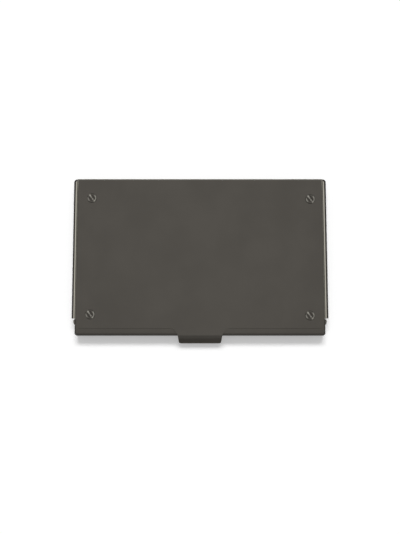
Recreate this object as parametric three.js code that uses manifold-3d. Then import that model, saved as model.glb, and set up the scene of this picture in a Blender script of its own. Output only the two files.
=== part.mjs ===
import * as THREE from 'three';
import { mergeVertices } from 'three/addons/utils/BufferGeometryUtils.js';
import Module from 'manifold-3d';

// Flip-top metal business card case, lying shut on its tray.
// Millimetres, +Z up, +X along the hinge, the thumb tab at the front on -Y, the table at z = 0.

// Sheet stock
const traySheet = 0.55;
const lidSheet = 0.5;
const linerSheet = 0.6;
const springSheet = 0.25;

// Clearances
const sideGap = 0.1; // lid flange to the rail's hem
const frontGap = 0.3; // lid lip to the tray's front wall
const floorGap = 0.3; // lid flange to the tray floor
const swingGap = 0.3; // swinging lid to the tray's back
const linerGap = 0.3; // liner edges to the lid flanges and bends
const seatGap = 0.03; // between pieces that bear on each other
const turnGap = 0.15; // hinge rivet and washer to what turns on or lies beside them
const threadGap = 0.2; // screw shank to the bores it passes
const overrun = 1; // how far a cut runs past what it cuts
const weld = 0.05; // how far joined pieces of one sheet run into each other

// Fineness of curves
const edgeSteps = 8; // straight pieces in each small bend
const bendSteps = 12; // in each broad bend
const turnSteps = 24; // around each turned body

// Case
const railSpan = 94.4; // over the outsides of the two rails
const lidDepth = 58.5; // lid's front face to its rear edge
const lidTop = 7.2; // table to the lid's top face

// Tray
const trayBend = 0.9; // outside radius of its bottom bends
const railDrop = 0.2; // crest of a rail under the lid's top face
const hemDepth = 1.4; // height of the sheet folded back inside a rail
const railSetback = 6; // lid's front face to the front end of a rail
const railRake = 1.2; // how far the foot of that end lies behind its top
const railCorner = 1.2; // plan radius at the rear end of a rail
const railHeel = 2.6; // side-view radius at the foot of its rear end
const frontWallHeight = 4.6;
const backTopAngle = THREE.MathUtils.degToRad(50); // top of the tray's round back, above level
const backLowAngle = THREE.MathUtils.degToRad(-45); // where the round back runs into its sloping foot

// Hinge
const earRadius = 2.85; // round rear end of a lid flange, about the hinge axis
const hingeInset = 3.3; // lid's rear edge to the hinge axis
const rivetRadius = 0.9;
const rivetHeadRadius = 1.7;
const rivetHeadHeight = 0.3; // head inside the flange
const rivetEndHeight = 0.12; // flat peened end outside the rail
const washerRadius = 1.6;

// Lid
const lidEdge = 0.5; // radius along the lid's two sides
const lidCorner = 0.6; // plan radius of the lid's corners
const frontBend = 0.9; // outside radius of the front bend
const lipDrop = 3.7; // lid's top face to the foot of its front lip
const creaseSetback = 2.15; // lid's front face to the pressed crease
const creaseWidth = 0.3;
const creaseDepth = 0.08;
const creaseInset = 1.2; // crease's outer end to the lid's side
const dimpleRadius = 1.1; // snap dimple where it leaves the flange
const dimpleHeight = 0.78;
const dimpleAhead = 1.25; // rail's front end to the middle of a dimple
const dimpleDrop = 2; // lid's top face to the middle of a dimple

// Thumb tab
const tabRootWidth = 19.8; // at the crease
const tabNeckWidth = 16.45; // at the lid's front face
const tabTipWidth = 15.5;
const tabBend = 1.4;
const tabSlope = THREE.MathUtils.degToRad(66);
const tabFlap = 3.7; // straight length of the sloping flap
const tabBendLead = 0.05; // how far ahead of the lid's front face the tab starts to bend
const tabCorner = 0.6;

// Corner screws and their press nuts
const screwFromSide = 5.6; // lid's side to the middle of a screw
const screwStray = 0.8; // how much nearer its side the rear right screw sits
const screwLag = 0.4; // how much nearer the front the two right screws sit than the two left ones
const screwFromFront = 7.5; // lid's front face to the front left screw
const screwFromRear = 7.25; // rear left screw to the lid's rear edge
const screwHeadRadius = 1.8;
const screwHeadHeight = 0.3;
const screwHeadRim = 0.16; // upright part of the head's edge
const screwHeadFlat = 1.3; // radius of the flat top of the head
const screwRadius = 0.7;
const slotWidth = 0.8;
const slotDepth = 0.16;
const slotTurn = THREE.MathUtils.degToRad(-54); // upper left to lower right, seen from above
const nutRadius = 1.35;
const nutFlangeRadius = 2;
const nutFlangeHeight = 0.3;
const linerCorner = 2;

// Card spring and its rivets
const springLength = 60;
const springWidth = 14;
const springFlat = 22; // middle length that lies on the floor
const springRise = 0.62;
const springRivetSpan = 12; // left rivet to right rivet
const plugRadius = 0.9;
const plugHeadRadius = 1.5;
const plugHeadHeight = 0.3;
const plugHeadRim = 0.12;

// Places that follow from the sizes
const quarter = Math.PI / 2;
const half = Math.PI;
const railHalf = railSpan / 2;
const wallInside = railHalf - traySheet;
const hemInside = wallInside - traySheet;
const lidHalf = hemInside - sideGap;
const flangeInside = lidHalf - lidSheet;
const linerHalf = flangeInside - linerGap;
const tabReach = tabBendLead + tabBend * Math.sin(tabSlope) + tabFlap * Math.cos(tabSlope);
const lidFront = (tabReach - lidDepth) / 2;
const lidRear = lidFront + lidDepth;
const lidUnder = lidTop - lidSheet;
const hingeY = lidRear - hingeInset;
const hingeZ = traySheet + floorGap + earRadius;
const railTop = lidTop - railDrop;
const railFront = lidFront + railSetback;
const trayFront = lidFront + lidSheet + frontGap;
const backOutside = lidUnder - hingeZ - swingGap;
const backInside = backOutside - traySheet;
const rivetHeadInside = flangeInside - turnGap - rivetHeadHeight;
const backHalf = rivetHeadInside - swingGap;
const frontWallHalf = flangeInside - frontGap;
const creaseY = lidFront + creaseSetback;
const linerTop = lidUnder - seatGap - nutFlangeHeight - seatGap;
const linerLow = linerTop - linerSheet;
const linerFront = lidFront + frontBend + linerGap;
const linerReach = backOutside + turnGap;
const linerClear = Math.sqrt(Math.max(linerReach ** 2 - (linerLow - hingeZ) ** 2, 0));
const linerRear = hingeY - Math.max(linerClear, rivetHeadRadius + swingGap);
const springFloor = traySheet + seatGap;
const screwX = lidHalf - screwFromSide;
const frontScrewY = lidFront + screwFromFront;
const rearScrewY = lidRear - screwFromRear;
const screwPlaces = [
  ['front_left', -screwX, frontScrewY],
  ['front_right', screwX, frontScrewY - screwLag],
  ['rear_left', -screwX, rearScrewY],
  ['rear_right', screwX + screwStray, rearScrewY - screwLag],
];

// Finishes
const gunmetal = { color: 0x504d48, roughness: 0.42, metalness: 0.75 };
const trayGunmetal = { color: 0x4a4743, roughness: 0.45, metalness: 0.75 };
const bareSteel = { color: 0x9c9a94, roughness: 0.3, metalness: 1 };
const springSteel = { color: 0x7d7f82, roughness: 0.28, metalness: 1 };
const rivetSteel = { color: 0x6a6863, roughness: 0.35, metalness: 1 };

const wasm = await Module();
wasm.setup();

// The same faces with one vertex where several met
function joined(geometry) {
  const bare = geometry.clone();
  bare.deleteAttribute('normal');
  bare.deleteAttribute('uv');
  return mergeVertices(bare);
}

// Solids for joining and cutting
function solid(geometry) {
  const merged = joined(geometry);
  const vertProperties = new Float32Array(merged.attributes.position.array);
  const triVerts = new Uint32Array(merged.index.array);
  return new wasm.Manifold(new wasm.Mesh({ numProp: 3, vertProperties, triVerts }));
}

function geometryOf(body) {
  const mesh = body.getMesh();
  const geometry = new THREE.BufferGeometry();
  geometry.setAttribute('position', new THREE.BufferAttribute(new Float32Array(mesh.vertProperties), 3));
  geometry.setIndex(new THREE.BufferAttribute(new Uint32Array(mesh.triVerts), 1));
  geometry.computeVertexNormals();
  return geometry;
}

// Frames that lay a drawn outline (u, v) and its depth w along the part's axes
const xAxis = new THREE.Vector3(1, 0, 0);
const yAxis = new THREE.Vector3(0, 1, 0);
const zAxis = new THREE.Vector3(0, 0, 1);
const sideView = new THREE.Matrix4().makeBasis(yAxis, zAxis, xAxis);
const endView = new THREE.Matrix4().makeBasis(xAxis, zAxis, yAxis.clone().negate());
const axleView = new THREE.Matrix4().makeBasis(zAxis, xAxis, yAxis);
const halfTurn = new THREE.Matrix4().makeBasis(xAxis.clone().negate(), yAxis.clone().negate(), zAxis);

// An arc is drawn with twice as many pieces as a call asks for, so steps are halved here
function extrude(shape, depth, steps) {
  return new THREE.ExtrudeGeometry(shape, { depth, bevelEnabled: false, curveSegments: steps / 2 });
}

// Outline in y and z, carried along x
function alongX(shape, from, to, steps = edgeSteps) {
  return extrude(shape, to - from, steps).applyMatrix4(sideView).translate(from, 0, 0);
}

// Outline in x and z, carried along y
function alongY(shape, from, to, steps = edgeSteps) {
  return extrude(shape, to - from, steps).applyMatrix4(endView).translate(0, to, 0);
}

// Outline in x and y, carried along z
function alongZ(shape, from, to, steps = edgeSteps) {
  return extrude(shape, to - from, steps).translate(0, 0, from);
}

function box(x0, x1, y0, y1, z0, z1) {
  const block = new THREE.BoxGeometry(x1 - x0, y1 - y0, z1 - z0);
  return block.translate((x0 + x1) / 2, (y0 + y1) / 2, (z0 + z1) / 2);
}

// Rectangle with its own radius at the rear and at the front corners
function roundedPlan(halfWidth, front, rear, frontRadius, rearRadius) {
  const shape = new THREE.Shape();
  shape.absarc(halfWidth - rearRadius, rear - rearRadius, rearRadius, 0, quarter, false);
  shape.absarc(-halfWidth + rearRadius, rear - rearRadius, rearRadius, quarter, half, false);
  shape.absarc(-halfWidth + frontRadius, front + frontRadius, frontRadius, half, half + quarter, false);
  shape.absarc(halfWidth - frontRadius, front + frontRadius, frontRadius, -quarter, 0, false);
  return shape;
}

// Body turned about an upright axis from points (radius, height), listed from the foot up
function turned(points) {
  const profile = points.map(([radius, height]) => new THREE.Vector2(radius, height));
  return new THREE.LatheGeometry(profile, turnSteps);
}

function pin(radius, from, to) {
  return turned([[0, from], [radius, from], [radius, to], [0, to]]);
}

function upright(geometry, x, y) {
  return geometry.applyMatrix4(sideView).translate(x, y, 0);
}

// Body turned about the hinge axis, given on the right-hand side of the case
function onAxle(geometry) {
  return geometry.applyMatrix4(axleView).translate(0, hingeY, hingeZ);
}

// The same body on the left-hand side, given half a turn about an upright line through the axis
function mirrored(geometry) {
  const about = geometry.clone().translate(0, -hingeY, -hingeZ).applyMatrix4(halfTurn);
  return about.translate(0, hingeY, hingeZ);
}

// Mirror image on the left-hand side, with its faces still pointing out
function flipped(geometry) {
  const image = joined(geometry).scale(-1, 1, 1);
  const order = image.index.array;
  for (let i = 0; i < order.length; i += 3) {
    [order[i], order[i + 1]] = [order[i + 1], order[i]];
  }
  return image;
}

// Tray: floor and two rails from one section, then front wall and round back
function traySection() {
  const bendX = railHalf - trayBend;
  const crest = railTop - traySheet;
  const hemLow = railTop - hemDepth;
  const shape = new THREE.Shape();
  shape.moveTo(-bendX, 0);
  shape.lineTo(bendX, 0);
  shape.absarc(bendX, trayBend, trayBend, -quarter, 0, false);
  shape.absarc(wallInside, crest, traySheet, 0, half, false);
  shape.lineTo(hemInside, hemLow);
  shape.lineTo(wallInside, hemLow);
  shape.absarc(bendX, trayBend, trayBend - traySheet, 0, -quarter, true);
  shape.absarc(-bendX, trayBend, trayBend - traySheet, -quarter, -half, true);
  shape.lineTo(-wallInside, hemLow);
  shape.lineTo(-hemInside, hemLow);
  shape.absarc(-wallInside, crest, traySheet, 0, half, false);
  shape.absarc(-bendX, trayBend, trayBend, half, half + quarter, false);
  return shape;
}

// Side view of the rails, raked at their front ends and rounded at the foot of their rear ends
function railSide() {
  const shape = new THREE.Shape();
  shape.moveTo(railFront, lidTop);
  shape.lineTo(railFront + railRake, 0);
  shape.absarc(lidRear - railHeel, railHeel, railHeel, -quarter, 0, false);
  shape.lineTo(lidRear, lidTop);
  return shape;
}

function frontWallSection() {
  const bendY = trayFront + trayBend;
  const shape = new THREE.Shape();
  shape.moveTo(railFront + overrun, 0);
  shape.lineTo(bendY, 0);
  shape.absarc(bendY, trayBend, trayBend, -quarter, -half, true);
  shape.lineTo(trayFront, frontWallHeight);
  shape.lineTo(trayFront + traySheet, frontWallHeight);
  shape.absarc(bendY, trayBend, trayBend - traySheet, half, half + quarter, false);
  shape.lineTo(railFront + overrun, traySheet);
  return shape;
}

// Where the back's sloping foot, which leaves the round at 45 degrees, meets a level of the floor
function footAt(radius, level) {
  const leaveY = hingeY + radius * Math.cos(backLowAngle);
  const leaveZ = hingeZ + radius * Math.sin(backLowAngle);
  return leaveY - (leaveZ - level);
}
const slopeInside = footAt(backInside, traySheet);
const slopeOutside = footAt(backOutside, 0);

function backSection() {
  const shape = new THREE.Shape();
  shape.absarc(hingeY, hingeZ, backOutside, backLowAngle, backTopAngle, false);
  shape.absarc(hingeY, hingeZ, backInside, backTopAngle, backLowAngle, true);
  shape.lineTo(slopeInside, traySheet);
  shape.lineTo(slopeInside - overrun, traySheet);
  shape.lineTo(slopeInside - overrun, 0);
  shape.lineTo(slopeOutside, 0);
  return shape;
}

function baseTray() {
  const plan = roundedPlan(railHalf, railFront, lidRear, weld, railCorner);
  let channel = solid(alongY(traySection(), railFront, lidRear));
  channel = channel.intersect(solid(alongZ(plan, -overrun, lidTop)));
  channel = channel.intersect(solid(alongX(railSide(), -railSpan, railSpan)));
  const floorCut = box(-hemInside, hemInside, slopeInside, lidRear + overrun, -overrun, traySheet + overrun);
  const floorEnd = railFront + railRake + overrun;
  const frontFloor = box(-lidHalf, lidHalf, trayFront + trayBend, floorEnd, 0, traySheet);
  const hingeHole = onAxle(pin(rivetRadius + turnGap, hemInside, railHalf + overrun));
  let tray = channel.subtract(solid(floorCut));
  tray = tray.add(solid(alongX(frontWallSection(), -frontWallHalf, frontWallHalf)));
  tray = tray.add(solid(frontFloor));
  tray = tray.add(solid(alongX(backSection(), -backHalf, backHalf, bendSteps)));
  tray = tray.subtract(solid(hingeHole)).subtract(solid(mirrored(hingeHole)));
  for (const side of [-1, 1]) {
    const hole = pin(plugRadius + threadGap, -overrun, traySheet + overrun);
    tray = tray.subtract(solid(upright(hole, side * springRivetSpan / 2, 0)));
  }
  return geometryOf(tray);
}

// Lid: rounded shell with side flanges, a front lip and the thumb tab
function lidSide() {
  const flangeLow = hingeZ - earRadius;
  const lipLow = lidTop - lipDrop;
  const shape = new THREE.Shape();
  shape.moveTo(lidFront, lipLow);
  shape.lineTo(lidFront, lidTop - frontBend);
  shape.absarc(lidFront + frontBend, lidTop - frontBend, frontBend, half, quarter, true);
  shape.lineTo(lidRear, lidTop);
  shape.lineTo(lidRear, lidUnder);
  shape.lineTo(hingeY + earRadius, lidUnder);
  shape.absarc(hingeY, hingeZ, earRadius, 0, -quarter, true);
  shape.lineTo(lidFront + lipLow - flangeLow, flangeLow);
  return shape;
}

function lidAcross() {
  const shape = new THREE.Shape();
  shape.moveTo(-lidHalf, 0);
  shape.lineTo(lidHalf, 0);
  shape.absarc(lidHalf - lidEdge, lidTop - lidEdge, lidEdge, 0, quarter, false);
  shape.absarc(-lidHalf + lidEdge, lidTop - lidEdge, lidEdge, quarter, half, false);
  return shape;
}

function lidHollow() {
  const inside = frontBend - lidSheet;
  const shape = new THREE.Shape();
  shape.moveTo(lidFront + lidSheet, -overrun);
  shape.lineTo(lidFront + lidSheet, lidTop - frontBend);
  shape.absarc(lidFront + frontBend, lidTop - frontBend, inside, half, quarter, true);
  shape.lineTo(lidRear + overrun, lidUnder);
  shape.lineTo(lidRear + overrun, -overrun);
  return shape;
}

function tabSide() {
  const bendY = lidFront - tabBendLead;
  const bendZ = lidTop - tabBend;
  const turnedTo = quarter + tabSlope;
  const endY = bendY - tabBend * Math.sin(tabSlope) - tabFlap * Math.cos(tabSlope);
  const endZ = bendZ + tabBend * Math.cos(tabSlope) - tabFlap * Math.sin(tabSlope);
  const shape = new THREE.Shape();
  shape.moveTo(creaseY + weld, lidUnder);
  shape.lineTo(creaseY + weld, lidTop);
  shape.absarc(bendY, bendZ, tabBend, quarter, turnedTo, false);
  shape.lineTo(endY, endZ);
  shape.lineTo(endY + lidSheet * Math.sin(tabSlope), endZ - lidSheet * Math.cos(tabSlope));
  shape.absarc(bendY, bendZ, tabBend - lidSheet, turnedTo, quarter, true);
  return shape;
}

// Plan of the tab: wide at the crease, drawn in to the front face, then tapering to round corners
function tabPlan(side) {
  const tipY = lidFront - tabReach;
  const root = tabRootWidth / 2 + side;
  const neck = tabNeckWidth / 2 + side;
  const tip = tabTipWidth / 2 + side;
  const shape = new THREE.Shape();
  shape.moveTo(root, creaseY + weld);
  shape.lineTo(-root, creaseY + weld);
  shape.lineTo(-root, creaseY);
  shape.lineTo(-neck, lidFront);
  shape.lineTo(-tip, tipY + tabCorner);
  shape.quadraticCurveTo(-tip, tipY, -tip + tabCorner, tipY);
  shape.lineTo(tip - tabCorner, tipY);
  shape.quadraticCurveTo(tip, tipY, tip, tipY + tabCorner);
  shape.lineTo(neck, lidFront);
  shape.lineTo(root, creaseY);
  return shape;
}

function creaseSection() {
  const shape = new THREE.Shape();
  shape.moveTo(creaseY - creaseWidth, lidTop + creaseDepth);
  shape.lineTo(creaseY, lidTop - creaseDepth);
  shape.lineTo(creaseY + creaseWidth, lidTop + creaseDepth);
  return shape;
}

// Round pressed dimple on the right-hand flange: a cap outside and its hollow inside
const dimpleSphere = (dimpleRadius ** 2 + dimpleHeight ** 2) / (2 * dimpleHeight);

function dimpleBall(radius) {
  const ball = new THREE.SphereGeometry(radius, turnSteps, turnSteps / 2);
  return ball.translate(lidHalf + dimpleHeight - dimpleSphere, railFront - dimpleAhead, lidTop - dimpleDrop);
}

function lidCover() {
  const plan = roundedPlan(lidHalf, lidFront, lidRear, lidCorner, lidCorner);
  let lid = solid(alongX(lidSide(), -lidHalf, lidHalf, bendSteps));
  lid = lid.intersect(solid(alongY(lidAcross(), lidFront - overrun, lidRear + overrun)));
  lid = lid.intersect(solid(alongZ(plan, -overrun, lidTop + overrun)));
  lid = lid.subtract(solid(alongX(lidHollow(), -flangeInside, flangeInside, bendSteps)));
  lid = lid.subtract(solid(alongZ(tabPlan(0), -overrun, lidTop + overrun)));
  const tabBlank = solid(alongX(tabSide(), -tabRootWidth, tabRootWidth, bendSteps));
  const tab = tabBlank.intersect(solid(alongZ(tabPlan(weld), -overrun, lidTop + overrun, bendSteps)));
  lid = lid.add(tab);
  const outside = solid(box(flangeInside + weld, railHalf + overrun, lidFront, railFront, 0, lidTop));
  const cap = geometryOf(solid(dimpleBall(dimpleSphere)).intersect(outside));
  const dish = dimpleBall(dimpleSphere - lidSheet);
  const crease = alongX(creaseSection(), tabRootWidth / 2, lidHalf - creaseInset);
  const hingeHole = onAxle(pin(rivetRadius + turnGap, flangeInside - overrun, lidHalf + overrun));
  lid = lid.add(solid(cap)).add(solid(flipped(cap)));
  for (const cut of [dish, crease, hingeHole]) {
    lid = lid.subtract(solid(cut)).subtract(solid(flipped(cut)));
  }
  for (const [, x, y] of screwPlaces) {
    const hole = upright(pin(screwRadius + threadGap, lidUnder - overrun, lidTop + overrun), x, y);
    lid = lid.subtract(solid(hole));
  }
  return geometryOf(lid);
}

// Liner plate inside the lid, carried by the press nuts
function lidLiner() {
  const plan = roundedPlan(linerHalf, linerFront, linerRear, linerCorner, linerCorner);
  let liner = solid(alongZ(plan, linerLow, linerTop));
  for (const [, x, y] of screwPlaces) {
    const hole = upright(pin(nutRadius + turnGap, linerLow - overrun, linerTop + overrun), x, y);
    liner = liner.subtract(solid(hole));
  }
  return geometryOf(liner);
}

function pressNut(x, y) {
  const bore = screwRadius + threadGap;
  const flangeTop = lidUnder - seatGap;
  const flangeLow = flangeTop - nutFlangeHeight;
  const ring = [
    [bore, linerLow],
    [nutRadius, linerLow],
    [nutRadius, flangeLow],
    [nutFlangeRadius, flangeLow],
    [nutFlangeRadius, flangeTop],
    [bore, flangeTop],
    [bore, linerLow],
  ];
  return upright(turned(ring), x, y);
}

function cornerScrew(x, y) {
  const seat = lidTop + seatGap;
  const crown = seat + screwHeadHeight;
  const body = turned([
    [0, linerLow],
    [screwRadius, linerLow],
    [screwRadius, seat],
    [screwHeadRadius, seat],
    [screwHeadRadius, seat + screwHeadRim],
    [screwHeadFlat, crown],
    [0, crown],
  ]);
  const reach = screwHeadRadius + overrun;
  const slot = box(-reach, reach, -slotWidth / 2, slotWidth / 2, crown - slotDepth, crown + overrun);
  const cut = solid(upright(body, 0, 0)).subtract(solid(slot.rotateZ(slotTurn)));
  return geometryOf(cut).translate(x, y, 0);
}

// Hinge rivet: shank along the axis, head inside the flange and peened end outside the rail
function hingeRivet() {
  const outerSeat = railHalf + seatGap;
  return onAxle(turned([
    [0, rivetHeadInside],
    [rivetHeadRadius, rivetHeadInside],
    [rivetHeadRadius, rivetHeadInside + rivetHeadHeight],
    [rivetRadius, rivetHeadInside + rivetHeadHeight],
    [rivetRadius, outerSeat],
    [rivetHeadRadius, outerSeat],
    [rivetHeadRadius, outerSeat + rivetEndHeight / 2],
    [rivetRadius, outerSeat + rivetEndHeight],
    [0, outerSeat + rivetEndHeight],
  ]));
}

function hingeWasher() {
  const bore = rivetRadius + turnGap;
  const near = lidHalf + turnGap;
  const far = wallInside - turnGap;
  return onAxle(turned([[bore, near], [washerRadius, near], [washerRadius, far], [bore, far], [bore, near]]));
}

// Bowed leaf: flat in the middle, both wings rising to their tips
function springSection() {
  const flat = springFlat / 2;
  const tip = springLength / 2;
  const level = springFloor + springSheet;
  const bow = (flat + tip) / 2;
  const shape = new THREE.Shape();
  shape.moveTo(-flat, springFloor);
  shape.lineTo(flat, springFloor);
  shape.quadraticCurveTo(bow, springFloor, tip, springFloor + springRise);
  shape.lineTo(tip, level + springRise);
  shape.quadraticCurveTo(bow, level, flat, level);
  shape.lineTo(-flat, level);
  shape.quadraticCurveTo(-bow, level, -tip, level + springRise);
  shape.lineTo(-tip, springFloor + springRise);
  shape.quadraticCurveTo(-bow, springFloor, -flat, springFloor);
  return shape;
}

function cardSpring() {
  let leaf = solid(alongY(springSection(), -springWidth / 2, springWidth / 2, bendSteps));
  for (const side of [-1, 1]) {
    const hole = pin(plugRadius + threadGap, -overrun, lidTop);
    leaf = leaf.subtract(solid(upright(hole, side * springRivetSpan / 2, 0)));
  }
  return geometryOf(leaf);
}

function springRivet(x) {
  const seat = springFloor + springSheet + seatGap;
  const body = turned([
    [0, seatGap],
    [plugRadius, seatGap],
    [plugRadius, seat],
    [plugHeadRadius, seat],
    [plugHeadRadius, seat + plugHeadRim],
    [plugRadius, seat + plugHeadHeight],
    [0, seat + plugHeadHeight],
  ]);
  return upright(body, x, 0);
}

// Assembly
const cardCase = new THREE.Group();

function place(parent, name, geometry, finish) {
  const mesh = new THREE.Mesh(geometry, new THREE.MeshStandardMaterial(finish));
  mesh.name = name;
  parent.add(mesh);
}

const base = new THREE.Group();
place(base, 'base_tray', baseTray(), trayGunmetal);
place(base, 'hinge_rivet_right', hingeRivet(), rivetSteel);
place(base, 'hinge_rivet_left', mirrored(hingeRivet()), rivetSteel);
place(base, 'hinge_washer_right', hingeWasher(), bareSteel);
place(base, 'hinge_washer_left', mirrored(hingeWasher()), bareSteel);
place(base, 'card_spring', cardSpring(), springSteel);
place(base, 'spring_rivet_left', springRivet(-springRivetSpan / 2), rivetSteel);
place(base, 'spring_rivet_right', springRivet(springRivetSpan / 2), rivetSteel);
cardCase.add(base);

const lid = new THREE.Group();
place(lid, 'lid_cover', lidCover(), gunmetal);
place(lid, 'lid_liner', lidLiner(), bareSteel);
for (const [corner, x, y] of screwPlaces) {
  place(lid, `corner_screw_${corner}`, cornerScrew(x, y), gunmetal);
  place(lid, `press_nut_${corner}`, pressNut(x, y), bareSteel);
}
cardCase.add(lid);

export default cardCase;
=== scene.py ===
import math

import bmesh
import bpy
import numpy as np
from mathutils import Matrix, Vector


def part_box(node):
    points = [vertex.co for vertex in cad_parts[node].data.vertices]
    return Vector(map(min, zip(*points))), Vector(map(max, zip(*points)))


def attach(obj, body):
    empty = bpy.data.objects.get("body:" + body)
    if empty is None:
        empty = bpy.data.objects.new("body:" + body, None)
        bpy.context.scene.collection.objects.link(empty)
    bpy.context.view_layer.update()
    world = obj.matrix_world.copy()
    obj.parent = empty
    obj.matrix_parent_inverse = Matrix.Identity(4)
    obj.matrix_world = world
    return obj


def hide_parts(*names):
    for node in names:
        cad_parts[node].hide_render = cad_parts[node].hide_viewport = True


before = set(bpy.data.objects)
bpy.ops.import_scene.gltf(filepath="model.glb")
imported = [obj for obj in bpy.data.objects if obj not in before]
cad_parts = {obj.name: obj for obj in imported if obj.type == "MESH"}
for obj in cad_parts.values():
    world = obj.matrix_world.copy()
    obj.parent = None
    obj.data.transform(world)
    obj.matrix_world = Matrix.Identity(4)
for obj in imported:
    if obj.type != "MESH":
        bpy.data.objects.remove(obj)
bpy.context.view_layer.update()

# Flip-top metal business card case. Shapes are worked out in millimetres and put down in metres.
MM = 0.001


def box_mm(node):
    """Lowest and highest corner of a node, in millimetres."""
    low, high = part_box(node)
    return np.array(low) / MM, np.array(high) / MM


lid_low, lid_high = box_mm("lid_cover")
tray_low, tray_high = box_mm("base_tray")
liner_low, liner_high = box_mm("lid_liner")
spring_low, spring_high = box_mm("card_spring")
axle_low, axle_high = box_mm("hinge_rivet_right")
washer_low, washer_high = box_mm("hinge_washer_right")
SIDES = ((-1, "left"), (1, "right"))
CORNERS = ("front_left", "front_right", "rear_left", "rear_right")

# Sheets and clearances
LID_SHEET = 0.5
TRAY_SHEET = 0.55
SPRING_SHEET = 0.25
SIDE_GAP = 0.1
FRONT_GAP = 0.3
SWING_GAP = 0.3
SEAT_GAP = 0.03
# The dimple's back edge keeps this far ahead of the rail, so that it swings past the rail's upper corner.
CATCH_GAP = 0.1

# Main places
RAIL_X = tray_high[0]
RAIL_TOP = tray_high[2]
RAIL_FRONT_SETBACK = 6
LID_X = RAIL_X - 2 * TRAY_SHEET - SIDE_GAP
LID_TOP = lid_high[2]
LID_REAR = lid_high[1]
LID_FRONT = tray_low[1] - LID_SHEET - FRONT_GAP
RAIL_FRONT = LID_FRONT + RAIL_FRONT_SETBACK
TAB_TIP = lid_low[1]
FLANGE_LOW = lid_low[2]
HINGE_Y = (axle_low[1] + axle_high[1]) / 2
HINGE_Z = (axle_low[2] + axle_high[2]) / 2

# Thumb tab
TAB_ROOT = 9.9
TAB_NECK = 8.225
TAB_END = 7.75
TAB_BEND = 1.4
TAB_SLOPE = math.radians(66)
TAB_FLAP = 3.7
TAB_CORNER = 0.9
TAB_OVERHANG = 0.05
TAB_BEND_Y = LID_FRONT - TAB_OVERHANG

# Lid
SIDE_BEND = 0.53
FRONT_BEND = 0.63
BAND_SLOPE = math.radians(3)
BAND_WIDTH = 2.15
# The corner is as round as the side bend, so that its fan ends on the last column of the front bend.
LID_CORNER = SIDE_BEND
REAR_CORNER = 0.15
LIP_DROP = 3.7
EAR_RADIUS = 2.85
EAR_BACK = HINGE_Y + EAR_RADIUS
CREASE_Y = LID_FRONT + BAND_WIDTH
BEND_X = LID_X - SIDE_BEND
BEND_Y = LID_FRONT + FRONT_BEND * (1 - math.sin(BAND_SLOPE))
BEND_Z = LID_TOP - (CREASE_Y - BEND_Y) * math.tan(BAND_SLOPE)

# Crease behind the front band, with the places between which it fades in beside the tab and out at the side
CREASE_DEPTH = 0.055
CREASE_SPREAD = 0.16
CREASE_SETBACK = 1.2
CREASE_END = LID_X - CREASE_SETBACK
CREASE_IN = TAB_ROOT + np.array([0.1, 0.9])
CREASE_OUT = CREASE_END + np.array([-0.6, 0.1])

# Snap dimple, short behind its peak and drawn out in front of it
DIMPLE_RADIUS = 1.1
DIMPLE_HEIGHT = 0.75
DIMPLE_REAR = 0.7
DIMPLE_RAMP = 1.5
DIMPLE_DROP = 1.8
DIMPLE_Y = RAIL_FRONT - CATCH_GAP - DIMPLE_REAR
DIMPLE_Z = LID_TOP - DIMPLE_DROP

# Tray
TRAY_BEND = 0.9
HEM_DEPTH = 1.4
HEM_FULLNESS = 0.05
HEM_ROOM = 0.3
HEM_CORNER = 0.12
FOLD_CORNER = 0.01
HEM_X = RAIL_X - 2 * TRAY_SHEET - HEM_FULLNESS
CREST_OUTSIDE = 0.42
CREST_INSIDE = 0.12
RAIL_THICK = RAIL_X - HEM_X
RAIL_HEEL = 2.6
RAIL_RAKE = 1.2
RAKE_RUN = 3 * RAIL_RAKE
RAIL_FIRST_ROW = RAIL_FRONT + 0.5
HEEL_BLEND = TRAY_SHEET * np.array([0.8, 1.1])
WALL_HEIGHT = 4.6
BACK_RADIUS = 2.7
BACK_TOP = math.radians(50)
BACK_LOW = math.radians(-45)
FRONT_WALL_X = LID_X - LID_SHEET - FRONT_GAP
BACK_X = axle_low[0] - SWING_GAP
FLOOR_X = RAIL_X - TRAY_BEND
NARROW_STEP = 0.4
WIDEN_STEP = 0.1

# Rounding along the edges of cut sheet. Rows beside a cut are wider apart, or its corners fold over.
EDGE = 0.06
EDGE_STEPS = 2

# Hinge rivets and washers
RIVET_HEAD = 1.7
RIVET_SHANK = 0.9
RIVET_HEAD_HEIGHT = 0.3
RIVET_RIM = 0.06
RIVET_CROWN = 1.2
RIVET_CROWN_SHARE = 0.6
RIVET_CORNER = 0.1
RIVET_NECK_CORNER = 0.04
RIVET_SEAT_CORNER = 0.02
RIVET_RIM_CORNER = 0.03
WASHER_BORE = 1.05
WASHER_RADIUS = 1.6
WASHER_BORE_CORNER = 0.04
WASHER_CORNER = 0.06

# Spring rivets, and the square of the tray's floor that holds each of their holes
PLUG_X = 6.0
PLUG_RADIUS = 0.9
PLUG_RIM = 0.14
PLUG_HOLE = 1.1
PLUG_CORNER = 0.08
PLUG_SEAT_CORNER = 0.03
PLUG_CROWN = 0.3
PLUG_ROWS = np.linspace(-1.6, 1.6, 9)
PLUG_COLUMNS = PLUG_X + PLUG_ROWS

# Screws
SCREW_HEAD = 1.8
SCREW_DOME = 0.34
SCREW_TAPER = 0.02
SCREW_RIM = 0.17
SCREW_SHANK = 0.7
SCREW_CROWN_CORNER = 0.2
SCREW_RIM_CORNER = 0.12
SCREW_SEAT_CORNER = 0.03
SCREW_END_CORNER = 0.1
SLOT_WIDTH = 0.8
SLOT_DEPTH = 0.16
SLOT_TURN = math.radians(-54)
SLOT_WALL = 0.012
SLOT_RING_SHARES = np.array([1.03, 1.15, 1.35, 1.6, 2, 2.4, 2.8])

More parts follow.
